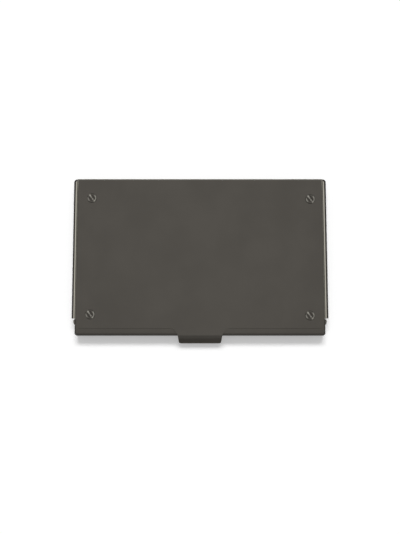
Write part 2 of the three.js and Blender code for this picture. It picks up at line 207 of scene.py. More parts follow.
# Press nuts
NUT_BORE = 0.9
NUT_SHANK = 1.35
NUT_HEAD = 2.0
NUT_HEAD_HEIGHT = 0.3
NUT_CORNER = 0.05
NUT_FOOT_CORNER = 0.08

# Liner and card spring
LINER_CORNER = 2.0
LINER_HOLE = 1.5
LINER_MARGIN = 0.2
LEAF_CORNER = 1.6
LEAF_FLAT = 11.0

# Painted highlights and painted light on lid and rails, with a little wear at the tab's end: pairs of places
# between which a mark fades in, and how strong each mark is
LIT_TOP = LID_TOP - np.array([0.2, 0.05])
LIT_REAR = LID_REAR - np.array([0.5, 0.05])
WORN_TIP = -TAB_TIP - np.array([0.35, 0.05])
LIT_BEND = LID_X - np.array([0.31, 0.15])
LIT_BEND_DEPTH = LID_TOP - SIDE_BEND * np.array([1, 0.9])
LIT_BEND_START = RAIL_FRONT - np.array([0.4, 0])
LIT_DIMPLE = LID_X + np.array([0.1, 0.4])
LIT_CREST = RAIL_TOP - np.array([0.6, 0.35])
LIT_RAIL = (0.65, 0.77)
WIDER_ROWS = LID_REAR - np.array([6, 1])
LID_WIDER = 0.1
RAIL_WIDER = 0.07
REAR_HIGHLIGHT = 0.2
TIP_WEAR = 0.1
DIMPLE_LIGHT = 0.45

# Painted highlights and painted shade on a screw: distances from the slot's line, from the screw's middle and
# along the slot
GLEAM = 0.42
GLEAM_SIDE = (0.1, 0.32)
GLEAM_LENGTH = (0.75, 1.0)
GLEAM_TIP = 1.2
GLEAM_TIP_SPREAD = 0.3
PAINTED_SHADE = 0.7
PAINTED_SHADE_IN = (0.28, 0.45)
PAINTED_SHADE_OUT = (0.85, 1.05)
PAINTED_SHADE_REACH = (1.25, 1.45)
RIM_HIGHLIGHT = 0.7
RIM_IN = (1.18, 1.36)
RIM_OUT = (1.62, 1.76)
RIM_RIGHT = math.radians(-8)
RIM_RIGHT_REACH = (0.45, 0.75)
RIM_LEFT = math.radians(200)
RIM_LEFT_REACH = (0.8, 0.95)
RIM_LEFT_SHARE = 0.8

# Gunmetal: waves per millimetre, what each adds to tone and gloss, and the relief in millimetres
GRAIN_SCALE = 7.0
CLOUD_SCALE = 0.09
HANDLED_SCALE = 0.35
CLOUD_SHARE = 0.7
GRAIN_SHARE = 0.3
GUNMETAL_SPAN = (0.3, 0.7)
GUNMETAL_SHARES = (0.975, 1.025)
GRAIN_ROUGH = 0.10
HANDLED_ROUGH = 0.05
LIT_GLOSS = 0.12
EDGE_TINT = (0.4, 0.4, 0.4, 1.0)
GRAIN_RELIEF = 0.004

# Brushed metal, the same way, with its scratches drawn out along one axis
SCRATCH_SCALE = 9.0
SCRATCH_STRETCH = 0.03
HAZE_SCALE = 0.12
SCRATCH_SHARE = 0.6
HAZE_SHARE = 0.4
BRUSHED_SPAN = (0.25, 0.75)
BRUSHED_SHARES = (0.88, 1.06)
SCRATCH_ROUGH = 0.22
SCRATCH_RELIEF = 0.003

# Camera: the focal length is in pixels of a photograph of this height
CAMERA_ELEVATION = math.radians(81)
CAMERA_DISTANCE = 0.380
CAMERA_FOCAL = 1017.5
CAMERA_TARGET = (0.0, -0.00214, 0.0036)
CAMERA_SENSOR = 36
PHOTO_HEIGHT = 534

# Table and light, in metres, degrees and watts
WORLD_LIGHT = 0.2
TABLE_SHADE = 0.8
TABLE_GLOW = 0.35
TABLE_REACH = 20.0
TABLE_LEVEL = -0.00002
KEY_AZIMUTHS = (("left", 193), ("right", 167))
KEY_ELEVATION = 64
KEY_SPREAD = 14
KEY_POWER = 0.9
OVERHEAD_PLACE = (0, 0.14, 0.70)
OVERHEAD_SIZE = 0.5
OVERHEAD_POWER = 0.85

# Meshes: points this close in metres are one, and bends sharper than this are creased in shading
MERGE = 2e-7
SLIVER = 1e-7
SHARP_BEND = math.radians(38)
# Decimals of a millimetre that places are rounded to, and the room left when they are compared
DECIMALS = 6
HAIR = 1e-6
# Room left when the middle of an edge or the height of a point is compared with a place
NEAR_BY = 0.01


# Meshes from arrays

def grid_faces(rows, columns, start=0):
    """Quads of a grid whose point (i, j) has the number start + i * columns + j."""
    i, j = np.meshgrid(np.arange(rows - 1), np.arange(columns - 1), indexing="ij")
    first = (start + i * columns + j).ravel()
    return np.stack([first, first + 1, first + columns + 1, first + columns], 1)


def make_piece(name, grids, body, material, stands_for, out=None, light_shade_wear=None):
    """One mesh from grids of points (rows, columns, xyz) in millimetres, neighbours joined by quads.
    Points that meet are merged, and open ends of tubes are filled. A skin that gets its thickness later names
    the direction that its outside faces. The last argument holds an array for each grid of painted light,
    painted shade and wear, kept as a point attribute."""
    faces, start = [], 0
    for grid in grids:
        faces.append(grid_faces(grid.shape[0], grid.shape[1], start))
        start += grid.shape[0] * grid.shape[1]
    points = np.concatenate([grid.reshape(-1, 3) for grid in grids])
    mesh = bpy.data.meshes.new(name)
    mesh.from_pydata((points * MM).tolist(), [], np.concatenate(faces).tolist())
    # This attribute holds painted light, painted shade and a little wear.
    layer = mesh.attributes.new("light_shade_wear", "FLOAT", "POINT")
    values = np.zeros(len(points)) if light_shade_wear is None else np.concatenate([part.ravel() for part in light_shade_wear])
    layer.data.foreach_set("value", values.astype(np.float32))
    work = bmesh.new()
    work.from_mesh(mesh)
    bmesh.ops.remove_doubles(work, verts=work.verts, dist=MERGE)
    bmesh.ops.dissolve_degenerate(work, edges=work.edges, dist=SLIVER)
    if out is None:
        bmesh.ops.holes_fill(work, edges=work.edges, sides=0)
    bmesh.ops.recalc_face_normals(work, faces=work.faces)
    if out is not None:
        facing = sum((face.normal * face.calc_area() for face in work.faces), Vector())
        if facing.dot(Vector(out)) < 0:
            bmesh.ops.reverse_faces(work, faces=work.faces)
    work.to_mesh(mesh)
    work.free()
    mesh.shade_smooth()
    mesh.set_sharp_from_angle(angle=SHARP_BEND)
    mesh.materials.append(material)
    obj = bpy.data.objects.new(name, mesh)
    bpy.context.collection.objects.link(obj)
    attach(obj, body)
    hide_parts(stands_for)
    return obj


def thicken(obj, sheet, left_sharp=None):
    """Gives a skin its sheet thickness inwards and a small rounded edge along every cut, which is an edge of
    one face only. Left_sharp picks cuts that stay sharp, by the places x, y and z of their middles."""
    mesh = obj.data
    used, ends = np.zeros(len(mesh.loops), np.int32), np.zeros(2 * len(mesh.edges), np.int32)
    places = np.zeros(3 * len(mesh.vertices), np.float32)
    mesh.loops.foreach_get("edge_index", used)
    mesh.edges.foreach_get("vertices", ends)
    mesh.vertices.foreach_get("co", places)
    cut = np.bincount(used, minlength=len(mesh.edges)) == 1
    if left_sharp is not None:
        cut &= ~left_sharp(*places.reshape(-1, 3)[ends].reshape(-1, 2, 3).mean(1).T / MM)
    weights = mesh.attributes.new("bevel_weight_edge", "FLOAT", "EDGE")
    weights.data.foreach_set("value", cut.astype(np.float32))
    wall = obj.modifiers.new("sheet", "SOLIDIFY")
    wall.thickness = sheet * MM
    wall.offset = -1
    wall.use_even_offset = True
    edge = obj.modifiers.new("edge", "BEVEL")
    edge.width = EDGE * MM
    edge.segments = EDGE_STEPS
    edge.limit_method = "WEIGHT"
    edge.use_clamp_overlap = False
    edge.harden_normals = True


def stops(*runs):
    """Places along a line: each run is (start, end, count), evenly spaced, ends shared."""
    return np.unique(np.round(np.concatenate([np.linspace(*run) for run in runs]), DECIMALS))


def smooth(value, low, high):
    """0 below low, 1 above high, and 3 t^2 - 2 t^3 between them."""
    t = np.clip((value - low) / (high - low), 0, 1)
    return t * t * (3 - 2 * t)


def between(value, rise, fall):
    """Comes in over the pair rise and goes out over the pair fall, both smooth."""
    return smooth(value, *rise) * (1 - smooth(value, *fall))


def rounded(corners, steps, closed=True):
    """Outline through corners (u, v, radius): each corner becomes an arc tangent to both its sides.
    The arc's middle lies at corner + (away from both sides) * radius / cos(half the turn)."""
    corners = np.asarray(corners, float)
    before, after = np.roll(corners, 1, 0), np.roll(corners, -1, 0)
    turn_shares = np.linspace(0, 1, steps + 1)
    pieces = []
    for k, (corner, last, following) in enumerate(zip(corners, before, after)):
        here, radius = corner[:2], corner[2]
        if radius == 0 or (not closed and k in (0, len(corners) - 1)):
            pieces.append(here[None])
            continue
        a = (last[:2] - here) / np.linalg.norm(last[:2] - here)
        b = (following[:2] - here) / np.linalg.norm(following[:2] - here)
        half = math.acos(np.clip(a @ b, -1, 1)) / 2
        middle = here + (a + b) / np.linalg.norm(a + b) * radius / math.sin(half)
        start = here + a * radius / math.tan(half) - middle
        end = here + b * radius / math.tan(half) - middle
        sweep = math.pi - 2 * half
        parts = np.stack([np.sin((1 - turn_shares) * sweep), np.sin(turn_shares * sweep)], 1)
        weights = parts / math.sin(sweep)
        pieces.append(middle + weights @ np.stack([start, end]))
    outline = np.concatenate(pieces)
    return np.concatenate([outline, outline[:1]]) if closed else outline


# Finishes

class Value:
    """A shader socket. Sums, differences and products of values add Math nodes."""

    def __init__(self, nodes, socket):
        self.nodes, self.socket = nodes, socket

    def math(self, operation, *others, flip=False):
        ends = (self,) + others
        ends = ends[::-1] if flip else ends
        return self.nodes.add("ShaderNodeMath", {"operation": operation}, dict(enumerate(ends)))[0]

    def __add__(self, other):
        return self.math("ADD", other)

    def __sub__(self, other):
        return self.math("SUBTRACT", other)

    def __mul__(self, other):
        return self.math("MULTIPLY", other)

    def __radd__(self, other):
        return self.math("ADD", other)

    def __rsub__(self, other):
        return self.math("SUBTRACT", other, flip=True)

    def __rmul__(self, other):
        return self.math("MULTIPLY", other)

    def clamp(self):
        return self.nodes.add("ShaderNodeClamp", {}, {0: self})[0]

    def absolute(self):
        return self.math("ABSOLUTE")

    def root(self):
        return self.math("SQRT")

    def larger(self, other):
        return self.math("MAXIMUM", other)

    def step(self, low, high):
        """0 below low, 1 above high, smooth between them."""
        inputs = {"Value": self, "From Min": low, "From Max": high}
        return self.nodes.add("ShaderNodeMapRange", {"interpolation_type": "SMOOTHSTEP"}, inputs)[0]


class Nodes:
    """A node tree under construction. add() makes any node: type, settings, then socket values or links. It
    gives back the node's outputs by number and by name."""

    def __init__(self, owner):
        owner.use_nodes = True
        self.tree = owner.node_tree
        self.tree.nodes.clear()

    def add(self, kind, settings, inputs):
        node = self.tree.nodes.new(kind)
        for key, value in settings.items():
            setattr(node, key, value)
        for key, value in inputs.items():
            socket = node.inputs[key]
            if isinstance(value, Value):
                self.tree.links.new(value.socket, socket)
            else:
                socket.default_value = value
        outputs = enumerate(node.outputs)
        return {key: Value(self, socket) for number, socket in outputs for key in (number, socket.name)}

    def seen(self, also):
        """1 for rays from the camera, in gloss and of one more kind, 0 for the rest."""
        path = self.add("ShaderNodeLightPath", {}, {})
        return path["Is Camera Ray"].larger(path["Is Glossy Ray"]).larger(path[also])


class Paint(Nodes):
    """A material under construction."""

    def __init__(self, name):
        self.material = bpy.data.materials.new(name)
        super().__init__(self.material)

    def place(self, stretch=(1, 1, 1)):
        """The point on the piece in millimetres, with each axis stretched."""
        point = self.add("ShaderNodeTexCoord", {}, {})["Object"]
        scale = tuple(part / MM for part in stretch)
        return self.add("ShaderNodeMapping", {}, {"Vector": point, "Scale": scale})[0]

    def axes(self):
        """The point's x, y and z in millimetres."""
        parts = self.add("ShaderNodeSeparateXYZ", {}, {0: self.place()})
        return parts["X"], parts["Y"], parts["Z"]

    def noise(self, scale, detail, rough=0.5, stretch=(1, 1, 1)):
        """Noise from 0 to 1, its scale in waves per millimetre."""
        inputs = {"Vector": self.place(stretch), "Scale": scale, "Detail": detail, "Roughness": rough}
        return self.add("ShaderNodeTexNoise", {}, inputs)[0]

    def held_light_shade_wear(self):
        """The piece's own attribute of painted light, painted shade and wear."""
        return self.add("ShaderNodeAttribute", {"attribute_name": "light_shade_wear"}, {})["Fac"]

    def blend(self, factor, first, second):
        """Colour between two colours or colour sockets."""
        return self.add("ShaderNodeMix", {"data_type": "RGBA"}, {0: factor, 6: first, 7: second})[2]

    def bump(self, height, distance):
        """Normal from a height in millimetres of relief."""
        inputs = {"Height": height, "Distance": distance * MM, "Strength": 1.0}
        return self.add("ShaderNodeBump", {}, inputs)[0]

    def finish(self, **sockets):
        """Shader with these sockets, and the finished material."""
        names = {"colour": "Base Color", "roughness": "Roughness", "metal": "Metallic", "normal": "Normal",
                 "tint": "Specular Tint"}
        inputs = {names[key]: value for key, value in sockets.items()}
        shader = self.add("ShaderNodeBsdfPrincipled", {}, inputs)[0]
        self.add("ShaderNodeOutputMaterial", {}, {0: shader})
        return self.material


def tone(red, green, blue):
    """Colour from screen values, 0 to 255: c / 12.92 while dark, or ((c + .055) / 1.055)^2.4."""
    c = np.array([red, green, blue]) / 255
    linear = np.where(c <= 0.04045, c / 12.92, ((c + 0.055) / 1.055) ** 2.4)
    return (*linear.tolist(), 1.0)


def shades(base, darkest, lightest):
    """The tones of a colour times its darkest and its lightest share."""
    return tone(*[darkest * part for part in base]), tone(*[lightest * part for part in base])


def gunmetal(name, base, lit_tone, mask, rough=0.4, painted_shade=None):
    """Satin dark metal: a fine blasted grain, faint cloudy tone, and a light metal tone where the mask is 1,
    which paints highlights and light with a little wear; painted shade where a dark tone is given.
    """
    paint = Paint(name)
    grain = paint.noise(GRAIN_SCALE, detail=3, rough=0.6)
    cloud = paint.noise(CLOUD_SCALE, detail=2)
    handled = paint.noise(HANDLED_SCALE, detail=4, rough=0.55)
    mottle = (cloud * CLOUD_SHARE + grain * GRAIN_SHARE).step(*GUNMETAL_SPAN)
    shade = paint.blend(mottle, *shades(base, *GUNMETAL_SHARES))
    roughness = rough + (grain - 0.5) * GRAIN_ROUGH + (handled - 0.5) * HANDLED_ROUGH
    lit_and_worn = mask(paint, grain)
    # The mask paints highlights and light in the light tone.
    shade = paint.blend(lit_and_worn, shade, tone(*lit_tone))
    roughness = roughness - lit_and_worn * LIT_GLOSS
    # Painted shade where the piece's attribute lies below zero.
    if painted_shade is not None:
        shade = paint.blend(stored_painted_shade(paint), shade, tone(*painted_shade))
    relief = paint.bump(grain, GRAIN_RELIEF)
    return paint.finish(colour=shade, roughness=roughness, metal=1.0, normal=relief, tint=EDGE_TINT)


def brushed(name, base, rough, along=0):
    """Brushed metal: long fine scratches along one axis in tone, gloss and relief."""
    paint = Paint(name)
    stretch = [1.0, 1.0, 1.0]
    stretch[along] = SCRATCH_STRETCH
    lines = paint.noise(SCRATCH_SCALE, detail=4, rough=0.7, stretch=tuple(stretch))
    haze = paint.noise(HAZE_SCALE, detail=2)
    streaks = (lines * SCRATCH_SHARE + haze * HAZE_SHARE).step(*BRUSHED_SPAN)
    shade = paint.blend(streaks, *shades(base, *BRUSHED_SHARES))
    roughness = rough + (lines - 0.5) * SCRATCH_ROUGH
    relief = paint.bump(lines, SCRATCH_RELIEF)
    return paint.finish(colour=shade, roughness=roughness, metal=1.0, normal=relief)


def rail_crest_highlight(paint, grain):
    """Painted highlight in a light metal tone over the crests of the rails, on the side of the hem, a little
    wider towards the rear: by the distance sqrt(x^2 + y^2) from the hem, which is carried round the rear
    corner."""
    x, y, z = paint.axes()
    aside = (x.absolute() - HEM_X).larger(0.0)
    back = (y - (LID_REAR - RAIL_THICK)).larger(0.0)
    inset = RAIL_THICK - (aside * aside + back * back).root()
    crest = z.step(*LIT_CREST)
    inset = inset - y.step(*WIDER_ROWS) * RAIL_WIDER
    return (inset.step(*LIT_RAIL) * crest * (0.95 + (grain - 0.5) * 0.5)).clamp()


def stored_light_and_wear(paint, grain):
    """Light metal tone where the piece's own attribute says so, broken up a little by the grain: painted
    highlights and light, with a little wear.
    """
    return (paint.held_light_shade_wear() * (0.8 + grain * 0.4)).clamp()


def stored_painted_shade(paint):
    """Painted shade where the piece's own attribute lies below zero."""
    return (0 - paint.held_light_shade_wear()).clamp()


# The second tone of each gunmetal is the light tone of its painted highlights and light; the screws' last
# tone is their painted shade.
lid_finish = gunmetal("lid_gunmetal", (64.5, 62, 58), (168, 164, 154), stored_light_and_wear)
tray_finish = gunmetal("tray_gunmetal", (57, 54.5, 51.5), (136, 133, 124), rail_crest_highlight, rough=0.42)
screw_finish = gunmetal("screw_gunmetal", (65, 62.5, 58.5), (128, 126, 119), stored_light_and_wear, rough=0.34,
                        painted_shade=(36, 34, 32))
liner_finish = brushed("liner_steel", (150, 149, 146), rough=0.34)
spring_finish = brushed("spring_steel", (122, 124, 128), rough=0.28)
rivet_finish = brushed("rivet_steel", (118, 115, 110), rough=0.3, along=2)
washer_finish = brushed("washer_steel", (150, 148, 144), rough=0.3, along=2)
nut_finish = brushed("nut_steel", (152, 150, 146), rough=0.32)


# Lid cover

BEND_SHARES = np.linspace(0, 1, 13)
WALL_SHARES = np.linspace(0, 1, 35)

# Rows of the lid from front to rear, finer over the crease and the dimple
CREASE_ROWS = CREASE_Y + np.array([-0.42, 0.42])
DIMPLE_ROWS = DIMPLE_Y + np.array([-1.7, 0.9])
EAR_LAST_ROW = EAR_BACK - 0.4
PAST_EAR_ROW = EAR_BACK + 0.15
wall_rows = stops(
    (BEND_Y, CREASE_ROWS[0], 3), (*CREASE_ROWS, 29), (CREASE_ROWS[1], DIMPLE_ROWS[0], 6),
    (DIMPLE_ROWS[0], DIMPLE_Y, 18), (DIMPLE_Y, DIMPLE_ROWS[1], 14), (DIMPLE_ROWS[1], HINGE_Y, 24),
    (HINGE_Y, EAR_LAST_ROW, 13), (EAR_LAST_ROW, EAR_BACK, 2))
# The last row stops a hair short, so that no point of the sheet's inside passes the CAD lid's rear edge.
REAR_CORNER_SHARES = np.array([1, 0.5, 0.03])
rear_rows = np.concatenate([[PAST_EAR_ROW], LID_REAR - REAR_CORNER * REAR_CORNER_SHARES])
flat_rows = np.concatenate([wall_rows, np.round(rear_rows, DECIMALS)])

# Columns of the top from the tab's edge to the side bend. Those within the pair move with the tab's edge.
SHIFTED = (TAB_ROOT + 1.2, 20)
MIDDLE_COLUMN = 40
CREASE_END_COLUMN = CREASE_END - 0.9
side_columns = stops(
    (TAB_ROOT, SHIFTED[0], 9), (*SHIFTED, 6), (SHIFTED[1], MIDDLE_COLUMN, 9),
    (MIDDLE_COLUMN, CREASE_END_COLUMN, 5), (CREASE_END_COLUMN, BEND_X, 10))


def tab_half(y):
    """Half width of the tab: level behind the crease, then straight lines through root, neck and end."""
    return np.interp(y, [TAB_TIP, LID_FRONT, CREASE_Y], [TAB_END, TAB_NECK, TAB_ROOT])


def beside_tab(y):
    """Columns from the tab's edge out to the corner, those near the tab moving with its edge."""
    return side_columns + (tab_half(y) - TAB_ROOT) * (1 - smooth(side_columns, *SHIFTED))


def rear_inset(y):
    """How far the round rear corner draws the lid's side in: r - sqrt(r^2 - d^2)."""
    d = np.clip(y - (LID_REAR - REAR_CORNER), 0, REAR_CORNER)
    return REAR_CORNER - np.sqrt(REAR_CORNER**2 - d**2)


def flange_foot(y):
    """Point (y, z) of the flange's lower edge under each place of its top: rising at 45 degrees to the lip in
    front, and round at the ear, where even steps above become even turns: y0 + r sin a, z0 - r cos a."""
    a = np.clip((y - HINGE_Y) / EAR_RADIUS, 0, 1) * math.pi / 2
    front = (LID_TOP - LIP_DROP) - (y - LID_FRONT)
    foot = np.where(a > 0, HINGE_Z - EAR_RADIUS * np.cos(a), np.maximum(front, FLANGE_LOW))
    return np.where(a > 0, HINGE_Y + EAR_RADIUS * np.sin(a), y), foot


def crease_drop(x, y):
    """Depth of the pressed line: d exp(-((y - y0) / s)^2), fading out at both its ends."""
    fade = between(np.abs(x), CREASE_IN, CREASE_OUT)
    return CREASE_DEPTH * np.exp(-(((y - CREASE_Y) / CREASE_SPREAD)**2)) * fade


def band_drop(y):
    """Fall of the band in front of the crease: (y0 - y) tan s."""
    return np.clip(CREASE_Y - y, 0, None) * math.tan(BAND_SLOPE)


def dimple_cap(y, z):
    """Height of a ball cap: sqrt(R^2 - d^2) - (R - h) within its rim, R = (r^2 + h^2) / 2h. Along y it is
    drawn out to a ramp in front of its peak and made short behind it."""
    ball = (DIMPLE_RADIUS**2 + DIMPLE_HEIGHT**2) / (2 * DIMPLE_HEIGHT)
    along = (y - DIMPLE_Y) * DIMPLE_RADIUS / np.where(y < DIMPLE_Y, DIMPLE_RAMP, DIMPLE_REAR)
    d2 = along**2 + (z - DIMPLE_Z)**2
    return np.maximum(np.sqrt(np.maximum(ball**2 - d2, 0)) - (ball - DIMPLE_HEIGHT), 0)


def top_side(side):
    """Flat top beside the tab: z = top - crease drop - fall of the band."""
    x = beside_tab(flat_rows[:, None])
    y = flat_rows[:, None] + 0 * x
    return np.stack([side * x, y, LID_TOP - crease_drop(x, y) - band_drop(y)], 2)


def side_bend(side):
    """Quarter turn between top and flange: x = side - r (1 - sin a), z = top - r (1 - cos a). Round the rear
    corner it is cut short where 1 - sin a = inset / r."""
    y, share = np.meshgrid(flat_rows, BEND_SHARES, indexing="ij")
    a = share * np.arcsin(1 - rear_inset(y) / SIDE_BEND)
    x = LID_X - SIDE_BEND * (1 - np.sin(a))
    return np.stack([side * x, y, LID_TOP - band_drop(y) - SIDE_BEND * (1 - np.cos(a))], 2)


def flange(side):
    """Upright wall from the bend to its foot, pushed out by the dimple's cap: z = top + v (foot - top), and
    y moves by v^2 to its place on the foot."""
    y, v = np.meshgrid(wall_rows, WALL_SHARES, indexing="ij")
    top = LID_TOP - band_drop(y) - SIDE_BEND
    foot_y, foot_z = flange_foot(y)
    z = top + v * (foot_z - top)
    along = y + v**2 * (foot_y - y)
    return np.stack([side * (LID_X + dimple_cap(y, z)), along, z], 2)


# Plan of the front corner, and how its bend changes on the way from the side to the front
corner_turn = np.linspace(0, math.pi / 2, 9)
corner_plan = np.concatenate([
    np.stack([np.full(3, LID_X), np.linspace(BEND_Y, LID_FRONT + LID_CORNER, 4)[:3]], 1),
    np.stack([LID_X - LID_CORNER * (1 - np.cos(corner_turn)),
              LID_FRONT + LID_CORNER * (1 - np.sin(corner_turn))], 1),
])
corner_shares = smooth(np.arange(len(corner_plan)), 0, len(corner_plan) - 1)[:, None]
corner_radius = SIDE_BEND + (FRONT_BEND - SIDE_BEND) * corner_shares
corner_slope = BAND_SLOPE * corner_shares


def bend(radius, slope, t):
    """Turn from a slope to upright: way = (sin(s + b) - sin s) / (1 - sin s), fall = r (cos s - cos(s + b)),
    with b from 0 to 90 degrees less the slope."""
    b = slope + t * (math.pi / 2 - slope)
    return (np.sin(b) - np.sin(slope)) / (1 - np.sin(slope)), radius * (np.cos(slope) - np.cos(b))


def front_corner(side):
    """Fan from the corner of the flat: plan = middle + (outline - middle) * way, z = bend's start - fall."""
    middle = np.array([BEND_X, BEND_Y])
    way, fall = bend(corner_radius, corner_slope, BEND_SHARES[None])
    plan = middle + (corner_plan[:, None] - middle) * way[..., None]
    return np.stack([side * plan[..., 0], plan[..., 1], BEND_Z - fall], 2)


def corner_wall(side):
    """Wall under the corner, straight down to the sloping foot of the flange."""
    top = BEND_Z - corner_radius * np.cos(corner_slope)
    z = top + WALL_SHARES * (flange_foot(corner_plan[:, 1])[1][:, None] - top)
    x, y = (np.broadcast_to(corner_plan[:, k, None], z.shape) for k in (0, 1))
    return np.stack([side * x, y, z], 2)


def front_side(side):
    """Front bend beside the tab, from the sloping band to upright."""
    way, fall = bend(FRONT_BEND, BAND_SLOPE, BEND_SHARES[:, None])
    y = BEND_Y - (BEND_Y - LID_FRONT) * way
    x = beside_tab(y)
    return np.stack([side * x, y + 0 * x, BEND_Z - fall + 0 * x], 2)


def lip_side(side):
    """Lip: the columns carried straight down from the bend to the lip's foot."""
    v = WALL_SHARES[:, None]
    x = beside_tab(LID_FRONT) + 0 * v
    top = BEND_Z - FRONT_BEND * math.cos(BAND_SLOPE)
    return np.stack([side * x, LID_FRONT + 0 * x, top + v * (LID_TOP - LIP_DROP - top) + 0 * x], 2)


def tab_strip():
    """Middle of the lid and the tab: level to the bend, a turn of radius R through the slope, a straight
    flap. Past the bend, y = y0 - R sin a - s cos a and z = top - R (1 - cos a) - s sin a. The end's corners
    are round: half width less r - sqrt(r^2 - d^2)."""
    a = np.linspace(0, TAB_SLOPE, 13)[1:]
    straight = TAB_FLAP - TAB_CORNER
    s = np.concatenate([np.linspace(0, straight, 9)[1:],
                        straight + TAB_CORNER * np.sin(np.linspace(0, math.pi / 2, 5))[1:]])
    level = np.concatenate([flat_rows[::-1], np.linspace(BEND_Y, TAB_BEND_Y, 7)[1:]])
    y = np.concatenate([level, TAB_BEND_Y - TAB_BEND * np.sin(a),
                        TAB_BEND_Y - TAB_BEND * math.sin(TAB_SLOPE) - s * math.cos(TAB_SLOPE)])
    z = np.concatenate([np.full(len(level), LID_TOP), LID_TOP - TAB_BEND * (1 - np.cos(a)),
                        LID_TOP - TAB_BEND * (1 - math.cos(TAB_SLOPE)) - s * math.sin(TAB_SLOPE)])
    near = np.clip(s - straight, 0, TAB_CORNER)
    cut = np.concatenate([np.zeros(len(level) + len(a)), TAB_CORNER - np.sqrt(TAB_CORNER**2 - near**2)])
    x = (tab_half(y) - cut)[:, None] * np.linspace(-1, 1, 33)
    return np.stack([x, np.broadcast_to(y[:, None], x.shape), np.broadcast_to(z[:, None], x.shape)], 2)


def lid_light_and_wear(grid):
    """Light tone on the lid: a painted highlight along the rear edge, painted light on the dimples and on the
    side bends beside the rails, a little wider towards the rear, and a little wear at the tab's end."""
    x, y, z = np.moveaxis(grid, 2, 0)
    rear = smooth(y, *LIT_REAR) * smooth(z, *LIT_TOP)
    tip = smooth(-y, *WORN_TIP)
    wider = LID_WIDER * smooth(y, *WIDER_ROWS)
    low, high = LIT_BEND
    side_light = smooth(np.abs(x), low - wider, high - wider) * smooth(z, *LIT_BEND_DEPTH)
    side_light = side_light * smooth(y, *LIT_BEND_START)
    dimple = smooth(np.abs(x), *LIT_DIMPLE)
    return np.clip(rear * REAR_HIGHLIGHT + tip * TIP_WEAR + side_light + dimple * DIMPLE_LIGHT, 0, 1)


lid_grids = [tab_strip()]
for side in (-1, 1):
    lid_grids += [top_side(side), side_bend(side), flange(side), front_corner(side), corner_wall(side),
                  front_side(side), lip_side(side)]
lid_cover = make_piece("lid_skin", lid_grids, "lid", lid_finish, "lid_cover", out=(0, 0, 1),
                       light_shade_wear=[lid_light_and_wear(grid) for grid in lid_grids])
# The cuts round the rear corners stay sharp, because their rows are closer than the edge's rounding.
thicken(lid_cover, LID_SHEET, lambda x, y, z: (np.abs(x) > BEND_X) & (y > EAR_BACK + NEAR_BY))


# Tray

def rail_section():
    """Section of the right rail: sheet up from the floor's bend, over the crest and folded back inside."""
    wall = RAIL_X - TRAY_SHEET
    fold = wall - HEM_FULLNESS
    hem_low = RAIL_TOP - HEM_DEPTH
    return rounded([
        (RAIL_X - TRAY_BEND, 0, 0),
        (RAIL_X, 0, TRAY_BEND),
        (RAIL_X, RAIL_TOP, CREST_OUTSIDE),
        (HEM_X, RAIL_TOP, CREST_INSIDE),
        (HEM_X, hem_low, HEM_CORNER),
        (fold, hem_low, HEM_CORNER),
        (fold, hem_low + HEM_ROOM, FOLD_CORNER),
        (wall, hem_low + HEM_ROOM, FOLD_CORNER),
        (wall, TRAY_SHEET, TRAY_BEND - TRAY_SHEET),
        (RAIL_X - TRAY_BEND, TRAY_SHEET, 0),
    ], steps=10)


def inward(section):
    """Unit normals of a closed outline, pointing into it: the tangent turned a quarter."""
    along = np.roll(section[:-1], -1, 0) - np.roll(section[:-1], 1, 0)
    along /= np.linalg.norm(along, axis=1, keepdims=True)
    normals = np.stack([-along[:, 1], along[:, 0]], 1)
    return np.concatenate([normals, normals[:1]])


def heel_height(y):
    """Height of the rail's foot over the table: r - sqrt(r^2 - h^2) over its last r."""
    h = np.clip(y - (LID_REAR - RAIL_HEEL), 0, RAIL_HEEL)
    return RAIL_HEEL - np.sqrt(RAIL_HEEL**2 - h**2)


def rail(side):
    """The rail's section carried back along y, drawn in by e (1 - sin b) over its first e (1 - cos b), then
    turned a quarter about an upright line at the hem's inside: x = hem + d cos a, y = pivot + d sin a. Its
    front leans back towards its foot. The foot keeps above the round heel, z >= r - sqrt(r^2 - h^2), and the
    bend to the floor draws back into the wall there."""
    section = rail_section()
    pivot = LID_REAR - RAIL_THICK
    heel = LID_REAR - RAIL_HEEL
    b = np.linspace(0, math.pi / 2, 5)
    turn = np.linspace(0, math.pi / 2, 13)[1:]
    straight = np.concatenate([RAIL_FRONT + EDGE * (1 - np.cos(b)), np.linspace(RAIL_FIRST_ROW, heel, 30),
                               np.linspace(heel, pivot, 13)[1:]])
    inset = np.zeros(len(straight) + len(turn))
    inset[:len(b)] = EDGE * (1 - np.sin(b))
    a = np.concatenate([0 * straight, turn])
    path = np.concatenate([straight, np.full(len(turn), pivot)])
    points = section[None] + inset[:, None, None] * inward(section)[None]
    level = heel_height(path + RAIL_THICK * np.sin(a))[:, None]
    drawn_share = smooth(level, *HEEL_BLEND)
    bend_x = RAIL_X - TRAY_BEND + (TRAY_BEND - TRAY_SHEET) * drawn_share
    u, z = points[..., 0], points[..., 1]
    reach = np.where(z <= TRAY_BEND, np.maximum(u, bend_x), u) - HEM_X
    rake = RAIL_RAKE * (1 - z / RAIL_TOP) * np.clip(1 - (path - RAIL_FRONT) / RAKE_RUN, 0, 1)[:, None]
    x = HEM_X + reach * np.cos(a)[:, None]
    y = path[:, None] + rake + reach * np.sin(a)[:, None]
    return np.stack([side * x, y, np.maximum(z, heel_height(y))], 2)


